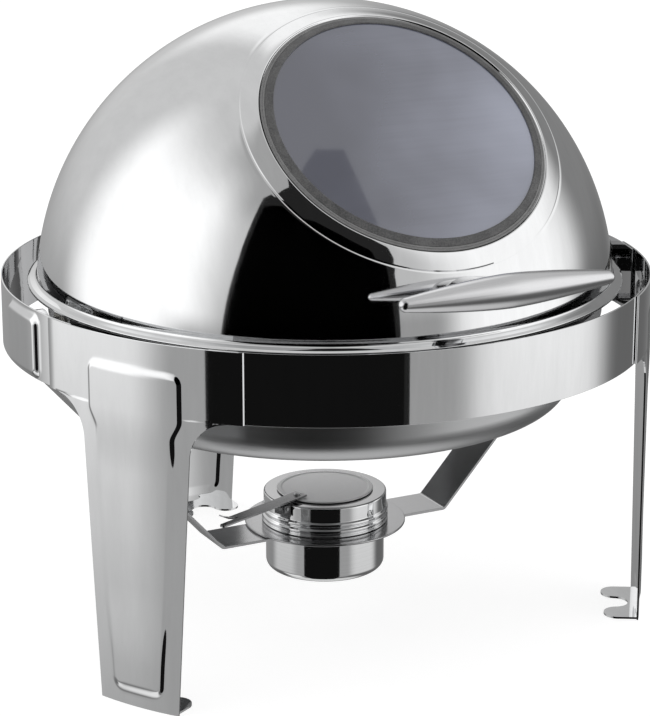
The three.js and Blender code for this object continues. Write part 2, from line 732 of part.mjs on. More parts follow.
// Two ears on a plate against the collar, built with the lever along +X.
function snufferHinge() {
  const z = SNUFFER_HINGE_Z;
  const side = LEVER_WIDTH / 2 + HINGE.t / 2; // inner face of an ear
  const outside = side + HINGE.t;
  const plateX = CAP_R + HINGE.t / 2;
  const plate = block(plateX, plateX + HINGE.t, -outside, outside, z - 7, z);
  const ears = [[side, outside], [-outside, -side]].map(([y0, y1]) => (
    block(plateX + 0.4, SNUFFER_HINGE_R + 2.4, y0, y1, z - 3, z + 2)
  ));
  return cut(join(plate, ...ears), hingeBar(outside + 1, HINGE.holeR));
}

// Cylinder across the lever at the snuffer's hinge.
function hingeBar(half, r) {
  const geometry = new THREE.CylinderGeometry(r, r, half * 2, 16);
  geometry.translate(SNUFFER_HINGE_R, 0, 0);
  geometry.translate(0, 0, SNUFFER_HINGE_Z);
  return geometry;
}

// The outer end is forked: one prong runs on flat, and the other curls up as a finger rest.
const LEVER = { start: 26, fork: 94, t: 1.2, prong: 4.5, curlT: 1 };

function snufferLever() {
  const half = LEVER_WIDTH / 2;
  const { start, fork, t } = LEVER;
  const inside = half - LEVER.prong - 0.5;
  const blade = extruded([
    v2(start, -half), v2(fork, -half), v2(fork, inside), v2(LEVER_END - 2, inside),
    v2(LEVER_END, 2), v2(LEVER_END, half - 1), v2(LEVER_END - 1, half), v2(start, half),
  ], t);
  blade.translate(0, 0, LEVER_Z);
  const line = [[-3, 0.6], [3, 0.8], [8, 2.4], [13, 5]];
  const curl = bentStrip(line.map(([x, z]) => v2(fork + x, LEVER_Z + z)), LEVER.curlT, LEVER.prong);
  curl.translate(0, LEVER.prong / 2 - half, 0);
  const knuckleHalf = half - 0.4;
  const knuckle = hingeBar(knuckleHalf, HINGE.knuckleR);
  const [x0, x1] = [SNUFFER_HINGE_R - 2.2, SNUFFER_HINGE_R + 2.2];
  const neck = block(x0, x1, -knuckleHalf, knuckleHalf, SNUFFER_HINGE_Z + 1.8, LEVER_Z + 0.5);
  return cut(join(blade, curl, knuckle, neck), hingeBar(LEVER_WIDTH, HINGE.holeR));
}

function snufferDisc() {
  const z = LEVER_Z - GAP;
  return turned([
    v2(0, z - 1.2), v2(SNUFFER_R - 1, z - 1.2), v2(SNUFFER_R, z - 0.8),
    v2(SNUFFER_R, z - 0.3), v2(SNUFFER_R - 1, z), v2(0, z),
  ], SEGMENTS.cup);
}

// Rivet head on the lever, over the disc.
function snufferRivet() {
  const foot = LEVER_Z + LEVER.t + 0.15;
  const head = post(foot, foot + 0.85, 2.6);
  const crown = post(foot + 0.55, foot + 1.35, 1.6);
  const geometry = join(head, crown);
  geometry.translate(LEVER.start + 5, 0, 0);
  return geometry;
}

function addFuelHolder() {
  piece('fuel_cup', fuelCup(), MIRROR());
  piece('fuel_cup_collar', fuelCap(), MIRROR());
  piece('snuffer_hinge', snufferHinge(), SATIN(), lever);
  piece('snuffer_hinge_pin', hingeBar(HINGE.pinHalf, HINGE.pinR), SATIN(), lever);
  piece('snuffer_lever', snufferLever(), SATIN(), lever);
  piece('snuffer_disc', snufferDisc(), SATIN());
  piece('snuffer_rivet', snufferRivet(), SATIN(), lever);
}

addLegs();
addStrips();
addPivots();
addLid();
addPans();
addBurnerBracket();
addFuelHolder();

export default chafer;
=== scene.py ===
"""Looks for a round roll top chafer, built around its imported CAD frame.

Shapes are worked out in millimetres about the ring's axis, with +Z up and the handle
side facing -Y, and turned into metres in the row frame when their mesh is made.
"""
import json
import math

import bmesh
import bpy
import numpy as np
from mathutils import Matrix, Vector


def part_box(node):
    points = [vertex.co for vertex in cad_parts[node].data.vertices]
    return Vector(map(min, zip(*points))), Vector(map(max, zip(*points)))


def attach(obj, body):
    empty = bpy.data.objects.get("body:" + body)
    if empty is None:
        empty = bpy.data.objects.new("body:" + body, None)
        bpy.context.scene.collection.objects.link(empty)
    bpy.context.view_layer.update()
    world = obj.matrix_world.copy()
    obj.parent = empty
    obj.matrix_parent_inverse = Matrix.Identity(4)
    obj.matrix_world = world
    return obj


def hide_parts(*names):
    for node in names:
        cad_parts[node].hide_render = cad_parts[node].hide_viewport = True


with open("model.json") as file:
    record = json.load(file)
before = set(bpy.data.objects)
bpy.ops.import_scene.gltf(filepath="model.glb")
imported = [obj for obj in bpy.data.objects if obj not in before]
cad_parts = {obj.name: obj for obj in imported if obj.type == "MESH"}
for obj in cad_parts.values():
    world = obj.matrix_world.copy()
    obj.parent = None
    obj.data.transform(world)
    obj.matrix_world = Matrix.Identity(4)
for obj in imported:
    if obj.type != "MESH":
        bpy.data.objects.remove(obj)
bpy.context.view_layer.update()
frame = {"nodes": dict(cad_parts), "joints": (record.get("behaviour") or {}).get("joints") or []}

# ------------------------------------------------------------------ driving dimensions
JOINTS = {joint["name"]: joint for joint in frame["joints"]}
PIVOT = Vector(JOINTS["lid_roll"]["pos_m"])
AXIS = Vector((0, PIVOT.y, 0))  # foot of the ring's axis, in metres
MM = 0.001


def from_box(node, corner, component):
    """One coordinate of a CAD node's box, in millimetres about the ring's axis."""
    return (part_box(node)[corner][component] - AXIS[component]) / MM


LOW, HIGH = 0, 1
SHEET = 1.2
RING_R = 229.9
RING_BOTTOM = from_box("ring_strip_front", LOW, 2)
RING_TOP = from_box("ring_strip_front", HIGH, 2)
LEG_R = 231.6
LEG_DEG = {"leg_front_left": 210, "leg_front_right": 330, "leg_back": 90}
HEAD_HALF_DEG = 19.9
TUCK_DEG = 6

PIVOT_Z = PIVOT.z / MM
DOME_R = 205.2
LIP_R = 211.5
LIP_BOTTOM = from_box("lid_shell", LOW, 2)
LIP_START_DEG = 5.1  # elevation at which the sphere ends and the lip begins

# The window has its own frame: radii about its axis, which rises by WINDOW_DEG, end in _R,
# and distances from the dome's centre along that axis end in _D.
WINDOW_DEG = 49.5
WINDOW_TILT = math.radians(WINDOW_DEG)
SEAT_EDGE_R = 113.3  # crease where the flat window seat leaves the sphere
CREST_R = 101.0  # low ridge of the window seat, round the gasket
CREST_D = 177.4
SEAT_D = 176.2
GASKET_R = 99.8
GLASS_VISIBLE_R = 91.4
GLASS_R = 92.4
GLASS_UNDER_D = SEAT_D - 1.9
GLASS_TOP_D = SEAT_D + 2.5
FLANGE_R = 96.7  # the gasket is smooth outside this radius and grained inside it

HANDLE_Z = (from_box("lid_handle", LOW, 2) + from_box("lid_handle", HIGH, 2)) / 2
HANDLE_HALF = from_box("lid_handle", HIGH, 0)
HANDLE_R = 11.2
HANDLE_Y = from_box("lid_handle", LOW, 1) + HANDLE_R
STEM_HALF = (14.0, 8.0)  # half width and half height of the oval stem
RIDGE_DEG = 166  # direction of the ridge along the grip's front, from +Y over the top
RIDGE_POWER = 1.72  # 2 would make the grip round, 1 a sharp diamond

ARM_T = 2
ARM_WIDTH = 36
ARM_WALL_X = 226.4  # middle of the arm's end against the ring
PLATE_Z = from_box("burner_plate", LOW, 2)
PLATE_T = 1.5
PLATE_R = 58.9
CUP_R = 43.4
CUP_T = 0.9
CUP_BOTTOM = from_box("fuel_cup", LOW, 2)
CAP_R = 45
BEAD_R = CAP_R + 1.2
CAP_TOP = from_box("fuel_cup_collar", HIGH, 2)
EYELET_DEG = -71
EYELET_Z = CAP_TOP - 8.5
SNUFFER_R = 35.3
SNUFFER_TOP = from_box("snuffer_disc", HIGH, 2)

ROUND = 192  # facets of the large round pieces
ROUND_SMALL = 128  # facets of the burner's round pieces
STRIP_FACETS_PER_DEG = 1.6


# ------------------------------------------------------------------ mesh helpers
def smoothstep(x):
    x = np.clip(x, 0, 1)
    return x * x * (3 - 2 * x)


def fillet_line(points, steps=6):
    """Open line through (x, y) or (x, y, fillet radius) points, its corners rounded."""
    line = []
    for i, point in enumerate(points):
        corner = np.array(point[:2], float)
        radius = point[2] if len(point) > 2 else 0
        if not radius or i in (0, len(points) - 1):
            line.append(corner)
            continue
        back = np.array(points[i - 1][:2], float) - corner
        ahead = np.array(points[i + 1][:2], float) - corner
        back, back_length = back / np.linalg.norm(back), np.linalg.norm(back)
        ahead, ahead_length = ahead / np.linalg.norm(ahead), np.linalg.norm(ahead)
        half = math.acos(np.clip(back @ ahead, -1, 1)) / 2
        reach = min(radius / math.tan(half), back_length * 0.49, ahead_length * 0.49)
        radius = reach * math.tan(half)
        middle = (back + ahead) / np.linalg.norm(back + ahead)
        centre = corner + middle * radius / math.sin(half)
        first = corner + back * reach - centre
        last = corner + ahead * reach - centre
        turn = math.atan2(first[0] * last[1] - first[1] * last[0], first @ last)
        for k in range(steps + 1):
            a = turn * k / steps
            c, s = math.cos(a), math.sin(a)
            line.append(centre + (first[0] * c - first[1] * s, first[0] * s + first[1] * c))
    return np.array(line)


def closed_outline(points, steps=4):
    """Closed outline whose corners are all rounded by their own radius."""
    looped = [points[-1], *points, points[0]]
    line = fillet_line(looped, steps)
    return line[1:-1]


def grid_faces(rows, columns, around=False, first=0, flip=False):
    """Quads between the neighbouring points of a grid that is stored row by row."""
    faces = []
    for i in range(rows - 1):
        for j in range(columns if around else columns - 1):
            k = (j + 1) % columns
            quad = [i * columns + j, i * columns + k, (i + 1) * columns + k, (i + 1) * columns + j]
            faces.append([first + v for v in (quad[::-1] if flip else quad)])
    return faces


def grid_normals(points, around):
    """Unit normals of a grid of points, rows x columns x 3."""
    along = np.gradient(points, axis=0)
    if around:
        across = (np.roll(points, -1, axis=1) - np.roll(points, 1, axis=1)) / 2
    else:
        across = np.gradient(points, axis=1)
    normals = np.cross(across, along)
    return normals / np.maximum(np.linalg.norm(normals, axis=2, keepdims=True), 1e-12)


def shell_between(outer, inner, around=False):
    """Closed shell between two grids of points of the same size."""
    rows, columns = outer.shape[:2]
    verts = np.concatenate([outer.reshape(-1, 3), inner.reshape(-1, 3)])
    count = rows * columns
    faces = grid_faces(rows, columns, around)
    faces += grid_faces(rows, columns, around, first=count, flip=True)
    for j in range(columns if around else columns - 1):
        k = (j + 1) % columns
        last = (rows - 1) * columns
        faces.append([j, j + count, k + count, k])
        faces.append([last + k, last + k + count, last + j + count, last + j])
    if not around:
        for i in range(rows - 1):
            a, b = i * columns, (i + 1) * columns
            faces.append([b, b + count, a + count, a])
            a, b = a + columns - 1, b + columns - 1
            faces.append([a, a + count, b + count, b])
    return verts, faces


def sheet_shell(points, thickness, around=False):
    """Closed shell of sheet metal whose outer face is the grid of points."""
    return shell_between(points, points - grid_normals(points, around) * thickness, around)


def lathe(outline, segments=ROUND):
    """Solid of revolution about Z from a closed outline of (radius, height) points."""
    outline = np.array(outline, float)
    turn = np.linspace(0, 2 * math.pi, segments, endpoint=False)
    ring = np.stack([np.cos(turn), np.sin(turn)], -1)
    verts = np.array([[x * r, y * r, z] for x, y in ring for r, z in outline])
    count = len(outline)
    faces = []
    for i in range(segments):
        k = (i + 1) % segments
        for j in range(count):
            m = (j + 1) % count
            faces.append([i * count + j, k * count + j, k * count + m, i * count + m])
    return verts, faces


def thin_section(line, thickness):
    """Closed section of a sheet of that thickness, centred on an open line."""
    line = np.array(line, float)
    direction = np.gradient(line, axis=0)
    direction /= np.linalg.norm(direction, axis=1, keepdims=True)
    normal = np.stack([-direction[:, 1], direction[:, 0]], -1) * thickness / 2
    section = np.concatenate([line + normal, (line - normal)[::-1]])
    section[:, 0] = np.maximum(section[:, 0], 0)
    return section


def prism(outline, z0, z1):
    """Closed flat plate between two heights from an outline of (x, y) points."""
    count = len(outline)
    verts = [(x, y, z) for z in (z0, z1) for x, y in outline]
    faces = [list(range(count))[::-1], list(range(count, 2 * count))]
    for j in range(count):
        k = (j + 1) % count
        faces.append([j, k, k + count, j + count])
    return np.array(verts, float), faces


def capped_tube(rows):
    """Solid through closed rows of (x, y, z) points, with a face over each end."""
    verts = np.array(rows, float).reshape(-1, 3)
    count = len(rows[0])
    last = (len(rows) - 1) * count
    faces = grid_faces(len(rows), count, around=True)
    faces.append(list(range(count)))
    faces.append([last + j for j in range(count)][::-1])
    return verts, faces


def joined(*parts):
    """One list of vertices and faces from several."""
    verts, faces, first = [], [], 0
    for part_verts, part_faces in parts:
        verts.append(np.asarray(part_verts, float))
        faces += [[first + v for v in face] for face in part_faces]
        first += len(part_verts)
    return np.concatenate(verts), faces


def turned_by(part, matrix):
    """The same part moved by a 4x4 matrix."""
    verts, faces = part
    m = np.array(matrix, float)
    return verts @ m[:3, :3].T + m[:3, 3], faces


def about_z(part, degrees):
    return turned_by(part, Matrix.Rotation(math.radians(degrees), 4, "Z"))


WINDOW_FRAME = Matrix.Translation((0, 0, PIVOT_Z)) @ Matrix.Rotation(math.pi / 2 - WINDOW_TILT, 4, "X")


def round_edges(piece, width, sharp_deg, harden=False):
    """Rounds a piece's sharp edges by a width in millimetres."""
    edge = piece.modifiers.new("edge", "BEVEL")
    edge.width = width * MM
    edge.segments = 2
    edge.limit_method = "ANGLE"
    edge.angle_limit = math.radians(sharp_deg)
    edge.harden_normals = harden


def make(name, part, body, material, replaced=(), bevel=0.25, sharp_deg=32, flats=False):
    """Mesh piece from millimetre vertices, riding on a body and standing for CAD nodes.

    bevel is the width of its rounded edges. flats keeps its large flat and straight faces
    free of shading from those edges.
    """
    verts, faces = part
    mesh = bpy.data.meshes.new(name)
    place = np.array(AXIS, float)
    mesh.from_pydata((np.asarray(verts) * MM + place).tolist(), [], faces)
    piece = bpy.data.objects.new(name, mesh)
    bpy.context.scene.collection.objects.link(piece)
    clean(mesh)
    mesh.shade_smooth()
    mesh.set_sharp_from_angle(angle=math.radians(sharp_deg))
    mesh.materials.append(material)
    if bevel:
        round_edges(piece, bevel, sharp_deg, harden=True)
    if flats:
        weighted = piece.modifiers.new("flats", "WEIGHTED_NORMAL")
        weighted.keep_sharp = True
    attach(piece, body)
    if replaced:
        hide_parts(*replaced)


def clean(mesh):
    """Merges doubled points, such as a lathe's poles, and turns all faces outwards."""
    bm = bmesh.new()
    bm.from_mesh(mesh)
    bmesh.ops.remove_doubles(bm, verts=bm.verts, dist=1e-6)
    bmesh.ops.dissolve_degenerate(bm, edges=bm.edges, dist=1e-7)
    bmesh.ops.recalc_face_normals(bm, faces=bm.faces)
    bm.to_mesh(mesh)
    bm.free()


# ------------------------------------------------------------------ materials
class Graph:
    """Short calls for building a node tree."""

    def __init__(self, tree):
        self.tree = tree

    def node(self, kind, inputs=None, **settings):
        made = self.tree.nodes.new(kind)
        for name, value in settings.items():
            setattr(made, name, value)
        for key, value in (inputs or {}).items():
            self.feed(made.inputs[key], value)
        return made

    def feed(self, socket, value):
        if isinstance(value, bpy.types.NodeSocket):
            self.tree.links.new(value, socket)
        else:
            socket.default_value = value

    def math(self, operation, a, b=0.0, c=0.0):
        inputs = {0: a, 1: b, 2: c}
        return self.node("ShaderNodeMath", inputs, operation=operation).outputs[0]

    def ramp(self, value, low, high, to_low, to_high):
        inputs = {"Value": value, "From Min": low, "From Max": high, "To Min": to_low, "To Max": to_high}
        return self.node("ShaderNodeMapRange", inputs, interpolation_type="SMOOTHSTEP").outputs[0]

    def mix(self, share, a, b):
        """b over a by a share, for plain numbers."""
        inputs = {0: share, 2: a, 3: b}
        return self.node("ShaderNodeMix", inputs, data_type="FLOAT").outputs[0]

    def tint(self, share, a, b):
        inputs = {0: share, 6: a, 7: b}
        return self.node("ShaderNodeMix", inputs, data_type="RGBA").outputs[2]

    def vector(self, operation, a, b=(0, 0, 0)):
        inputs = {0: a, 1: b}
        return self.node("ShaderNodeVectorMath", inputs, operation=operation).outputs["Vector"]

    def length(self, vector):
        return self.node("ShaderNodeVectorMath", {0: vector}, operation="LENGTH").outputs["Value"]

    def parts(self, vector):
        """X, Y and Z of a vector."""
        return self.node("ShaderNodeSeparateXYZ", {0: vector}).outputs

    def noise(self, vector, scale, detail=3.0, roughness=0.5):
        inputs = {"Vector": vector, "Scale": scale, "Detail": detail, "Roughness": roughness}
        return self.node("ShaderNodeTexNoise", inputs).outputs["Fac"]


def opened(material):
    """Node helper and main shader of a material."""
    return Graph(material.node_tree), material.node_tree.nodes["Principled BSDF"]


def new_material(name):
    material = bpy.data.materials.new(name)
    material.use_nodes = True
    return material, *opened(material)


def place_of(graph):
    """Row-frame position about the ring's axis, in metres."""
    coordinates = graph.node("ShaderNodeTexCoord").outputs["Object"]
    return graph.vector("SUBTRACT", coordinates, tuple(AXIS))


def ring_radius(graph):
    """Distance from the ring's axis, in metres."""
    return graph.length(graph.vector("MULTIPLY", place_of(graph), (1, 1, 0)))


def window_radius(graph):
    """Distance from the window's axis, in metres."""
    axis = (0, -math.cos(WINDOW_TILT), math.sin(WINDOW_TILT))
    moved = graph.vector("SUBTRACT", place_of(graph), (0, 0, PIVOT.z))
    return graph.length(graph.vector("CROSS_PRODUCT", moved, axis))


def spun(graph):
    """Marks left by spinning, which change only with radius and height."""
    height = graph.parts(place_of(graph))["Z"]
    return graph.node("ShaderNodeCombineXYZ", {"X": ring_radius(graph), "Y": height}).outputs[0]


def wiped(graph):
    """Long faint slanting marks, as a cloth leaves on polished sheet."""
    return graph.vector("MULTIPLY", place_of(graph), (30, 12, 4))


def brushed_down(graph):
    """Fine upright marks."""
    return graph.vector("MULTIPLY", place_of(graph), (60, 60, 3))


def brushed_along_x(graph):
    """Fine marks across the object, from side to side."""
    return graph.vector("MULTIPLY", place_of(graph), (3, 60, 60))


def steel(name, color, rough, marks, scale, depth, metallic=1.0):
    """Steel whose roughness runs between two values along its own marks.

    marks is one of the functions above. scale is that of the noise laid along it, and depth
    is how deep the marks are, in metres.
    """
    material, graph, shader = new_material(name)
    lines = graph.noise(marks(graph), scale, 4.0, 0.6)
    clouds = graph.noise(place_of(graph), 9.0, 3.0, 0.55)
    shade = graph.math("MULTIPLY_ADD", clouds, 0.5, graph.math("MULTIPLY", lines, 0.5))
    darker = tuple(c * 0.94 for c in color)
    share = graph.ramp(shade, 0.35, 0.65, 0.0, 1.0)
    graph.feed(shader.inputs["Base Color"], graph.tint(share, (*darker, 1), (*color, 1)))
    graph.feed(shader.inputs["Roughness"], graph.ramp(shade, 0.3, 0.7, *rough))
    shader.inputs["Metallic"].default_value = metallic
    height = graph.math("MULTIPLY", lines, depth)
    bump = graph.node("ShaderNodeBump", {"Strength": 1.0, "Distance": 1.0, "Height": height})
    graph.feed(shader.inputs["Normal"], bump.outputs[0])
    return material


def paint_shade(material, share_of, color):
    """Paints shade on a steel: another colour where share_of, a function of its graph, says so."""
    graph, shader = opened(material)
    base = shader.inputs["Base Color"]
    unshaded = base.links[0].from_socket
    graph.feed(base, graph.tint(share_of(graph), unshaded, (*color, 1)))


def facing_up(graph):
    """Share that is 1 on level tops and 0 on walls, where the burner's painted shade goes."""
    facing = graph.node("ShaderNodeNewGeometry").outputs["Normal"]
    return graph.ramp(graph.parts(facing)["Z"], 0.7, 0.97, 0.0, 1.0)


def ring_inside(graph):
    """Share that is 1 on the ring's inner side, where shade is painted, and 0 on its outer side."""
    return graph.ramp(ring_radius(graph), (RING_R - 0.9) * MM, (RING_R - 0.4) * MM, 1.0, 0.0)


def rubber(name):
    """Silicone: a smooth outer flange, and a grained band that slopes up to the glass."""
    material, graph, shader = new_material(name)
    radius = window_radius(graph)
    smooth = graph.ramp(radius, (FLANGE_R - 0.2) * MM, (FLANGE_R + 0.2) * MM, 0.0, 1.0)
    grain = graph.noise(place_of(graph), 1100.0, 3.0, 0.65)
    dust = graph.noise(place_of(graph), 60.0, 4.0, 0.6)
    share = graph.math("MULTIPLY_ADD", grain, 0.6, graph.math("MULTIPLY", dust, 0.4))
    share = graph.ramp(share, 0.35, 0.65, 0.0, 1.0)
    dark = graph.tint(share, (0.05, 0.05, 0.052, 1), (0.14, 0.14, 0.14, 1))
    light = graph.tint(share, (0.17, 0.17, 0.17, 1), (0.24, 0.24, 0.24, 1))
    graph.feed(shader.inputs["Base Color"], graph.tint(smooth, dark, light))
    graph.feed(shader.inputs["Roughness"], graph.mix(smooth, 0.42, 0.28))
    height = graph.math("MULTIPLY", grain, graph.mix(smooth, 1.0, 0.15))
    bump = graph.node("ShaderNodeBump", {"Strength": 0.5, "Distance": 0.0003, "Height": height})
    graph.feed(shader.inputs["Normal"], bump.outputs[0])
    return material


def painted_reflection_glass(name):
    """Tempered glass, tinted blue-grey, with a painted reflection: lighter towards +X and lower down,
    darker towards -X and higher up.
    """
    material, graph, shader = new_material(name)
    place = place_of(graph)
    parts = graph.parts(place)
    drift = graph.noise(place, 11.0, 2.0, 0.5)
    brush = graph.noise(brushed_along_x(graph), 5.0, 4.0, 0.6)
    # painted reflection: the colour grows lighter along +X and darker with height, with a little noise
    painted_reflection_lean = graph.math("MULTIPLY_ADD", parts["X"], 3.6, graph.math("MULTIPLY", drift, 0.8))
    painted_reflection_lean = graph.math("MULTIPLY_ADD", parts["Z"], -2.6, painted_reflection_lean)
    share = graph.ramp(graph.math("MULTIPLY_ADD", brush, 0.07, painted_reflection_lean), -0.84, 0.16, 0.0, 1.0)
    colour = graph.tint(share, (0.045, 0.05, 0.09, 1), (0.44, 0.47, 0.6, 1))
    graph.feed(shader.inputs["Base Color"], colour)
    graph.feed(shader.inputs["Roughness"], graph.ramp(brush, 0.3, 0.7, 0.015, 0.025))
    shader.inputs["IOR"].default_value = 2.0
    shader.inputs["Specular IOR Level"].default_value = 1.0
    shader.inputs["Alpha"].default_value = 0.94
    return material


def nylon(name):
    material, graph, shader = new_material(name)
    mottle = graph.noise(place_of(graph), 300.0, 2.0, 0.5)
    colour = graph.tint(mottle, (0.62, 0.6, 0.55, 1), (0.74, 0.72, 0.67, 1))
    graph.feed(shader.inputs["Base Color"], colour)
    graph.feed(shader.inputs["Roughness"], graph.ramp(mottle, 0.3, 0.7, 0.4, 0.55))
    return material


MIRROR_COLOR = (0.87, 0.875, 0.88)
SATIN_COLOR = (0.62, 0.625, 0.63)
HANDLE_COLOR = (0.74, 0.74, 0.75)
DISC_COLOR = (0.92, 0.92, 0.925)
BRACKET_COLOR = (0.5, 0.5, 0.505)
LEVER_COLOR = (0.36, 0.36, 0.365)
BURNER_TOP_SHADE_COLOR = (0.5, 0.5, 0.505)  # painted shade: darker colour on the burner's level tops
RING_INSIDE_SHADE_COLOR = (0.4, 0.4, 0.405)  # painted shade: darker colour on the ring's inner side
MIRROR = steel("mirror_steel", MIRROR_COLOR, (0.03, 0.06), wiped, 5.0, 1.5e-6)
LEG_STEEL = steel("leg_steel", MIRROR_COLOR, (0.03, 0.05), wiped, 5.0, 1.2e-6)
CUP_STEEL = steel("cup_steel", MIRROR_COLOR, (0.05, 0.09), spun, 900.0, 3e-6)
# painted shade: the burner's level tops get a darker colour than its walls
paint_shade(CUP_STEEL, facing_up, BURNER_TOP_SHADE_COLOR)
BRACKET_STEEL = steel("bracket_steel", BRACKET_COLOR, (0.14, 0.2), brushed_along_x, 6.0, 1.5e-6)
PAN_STEEL = steel("pan_steel", SATIN_COLOR, (0.3, 0.4), spun, 700.0, 6e-6)
HANDLE_STEEL = steel("handle_steel", HANDLE_COLOR, (0.15, 0.2), brushed_along_x, 6.0, 4e-6)
SATIN = steel("satin_steel", SATIN_COLOR, (0.24, 0.36), brushed_down, 9.0, 1e-5)
DISC_STEEL = steel("disc_steel", DISC_COLOR, (0.3, 0.4), spun, 900.0, 6e-6, metallic=0.7)
LEVER_STEEL = steel("lever_steel", LEVER_COLOR, (0.2, 0.3), brushed_along_x, 6.0, 1.5e-6)
RING_STEEL = steel("ring_steel", MIRROR_COLOR, (0.03, 0.05), wiped, 5.0, 1.5e-6)
# painted shade: the ring's inner side, towards the gap under the lid, gets a darker colour
paint_shade(RING_STEEL, ring_inside, RING_INSIDE_SHADE_COLOR)
GASKET_RUBBER = rubber("gasket_silicone")
GLASS = painted_reflection_glass("window_glass")
NYLON = nylon("bush_nylon")


# ------------------------------------------------------------------ legs
FLARE_R = 28
HEAD_ARC_Z = RING_BOTTOM - FLARE_R
SHOULDER_Z = 191
SHOULDER_HALF = 34.6
PANEL = {"bottom": 16, "top": 232, "corner": 10, "slope_z": 8}
PANEL_RAISE = {"shank": 0.42, "head": 0.95, "foot": 0.8}
PANEL_SLOPE = {"shank": 7, "head": 3.4, "foot": 4}
HEAD_CHAMFER = {"width": 1.0, "fall": 1.05}


def leg_half_width(z):
    """Half width of a leg's sheet at a height, along its curve."""
    shank = 32 + 0.059 * min(z, HEAD_ARC_Z)
    rise = min(max(z - HEAD_ARC_Z, 0), FLARE_R)
    if z >= RING_BOTTOM:
        return math.radians(HEAD_HALF_DEG) * LEG_R
    return shank + FLARE_R - math.sqrt(FLARE_R**2 - rise**2)


def panel_half_width(z):
    """Half width of the flat of the leg's pressed panel, which widens at its shoulder."""
    tapered = 16.6 + 0.0614 * min(z, SHOULDER_Z)
    return tapered + (SHOULDER_HALF - tapered) * smoothstep((z - SHOULDER_Z) / 15)


def pressed(inside_x, inside_z, corner, slope_x, slope_z, height):
    """Lift of a pressed panel, from the distances inside its outline and its slopes' widths."""
    gap_x = np.maximum(corner - inside_x, 0)
    gap_z = np.maximum(corner - inside_z, 0)
    inside = corner - np.hypot(gap_x, gap_z)
    share = gap_x**2 / np.maximum(gap_x**2 + gap_z**2, 1e-9)
    return height * smoothstep(inside / (slope_z + (slope_x - slope_z) * share))


def spaced(*stops):
    """Values through (value, steps) stops: each stop's steps lead up to it from the last."""
    values = [stops[0][0]]
    for value, steps in stops[1:]:
        start = values[-1]
        values += [start + (value - start) * (k + 1) / steps for k in range(steps)]
    return np.array(values)


def panel_change(z, values):
    """A value that changes along the leg, from its foot over its shank to its head."""
    head = smoothstep((z - 165) / 42) * (values["head"] - values["shank"])
    foot = smoothstep((85 - z) / 55) * (values["foot"] - values["shank"])
    return values["shank"] + head + foot


def leg_sheet():
    top, bottom, slope_z = PANEL["top"], PANEL["bottom"], PANEL["slope_z"]
    heights = spaced(
        (0, 0), (bottom - slope_z, 4), (bottom + 2, 16), (HEAD_ARC_Z, 44),
        (RING_BOTTOM - 0.02, 22), (RING_BOTTOM, 1), (top - 2, 16), (top + slope_z, 16),
        (RING_TOP, 8),
    )
    outer, inner = [], []
    for z in heights:
        flat = panel_half_width(min(max(z, bottom), top))
        slope_x = panel_change(z, PANEL_SLOPE)
        edge = flat + slope_x
        end = leg_half_width(z)
        half = spaced((0, 0), (flat - 2, 10), (edge, 14), (end - HEAD_CHAMFER["width"], 6), (end, 8))
        across = np.concatenate([-half[:0:-1], half])
        inside_x = edge - np.abs(across)
        inside_z = min(z - (bottom - slope_z), top + slope_z - z)
        height = panel_change(z, PANEL_RAISE)
        lift = pressed(inside_x, inside_z, PANEL["corner"], slope_x, slope_z, height)
        share = (np.abs(across) - end + HEAD_CHAMFER["width"]) / HEAD_CHAMFER["width"]
        fall = smoothstep(share) * HEAD_CHAMFER["fall"] * (z >= RING_BOTTOM)
        angle = across / LEG_R
        for grid, radius in ((outer, LEG_R + lift - fall), (inner, LEG_R + lift - SHEET)):
            level = np.full_like(angle, z)
            grid.append(np.stack([radius * np.cos(angle), radius * np.sin(angle), level], -1))
    return shell_between(np.array(outer), np.array(inner))


FOOT = {"half": 30, "tip_r": 205, "slot": 10, "slot_end_r": 224, "thickness": 1.5}


def arc(x, y, radius, start, end, steps):
    turn = np.radians(np.linspace(start, end, steps + 1))
    return [(x + radius * math.cos(t), y + radius * math.sin(t)) for t in turn]


def foot_tab():
    """Foot turned in along the floor, with an open slot between two round prongs."""
    prong = (FOOT["half"] - FOOT["slot"]) / 2
    side = FOOT["half"] - prong
    wrap_r = LEG_R - SHEET / 2
    wrap = math.degrees(math.asin(FOOT["half"] / wrap_r))
    outline = [
        *arc(0, 0, wrap_r, -wrap, wrap, 24),
        *arc(FOOT["tip_r"] + prong, side, prong, 90, 270, 24),
        *arc(FOOT["slot_end_r"] - FOOT["slot"], 0, FOOT["slot"], 90, -90, 24),
        *arc(FOOT["tip_r"] + prong, -side, prong, 90, 270, 24),
    ]
    return prism(outline, 0, FOOT["thickness"])


def make_legs():
    leg = joined(leg_sheet(), foot_tab())
    for name, angle in LEG_DEG.items():
        make(name + "_sheet", about_z(leg, angle), "frame", LEG_STEEL, [name])


# ------------------------------------------------------------------ ring strips
PIVOT_PANEL = {"bottom": 210.5, "top": 251.5, "half": 27, "corner": 8, "slope": 5.2, "raise": 3.3}


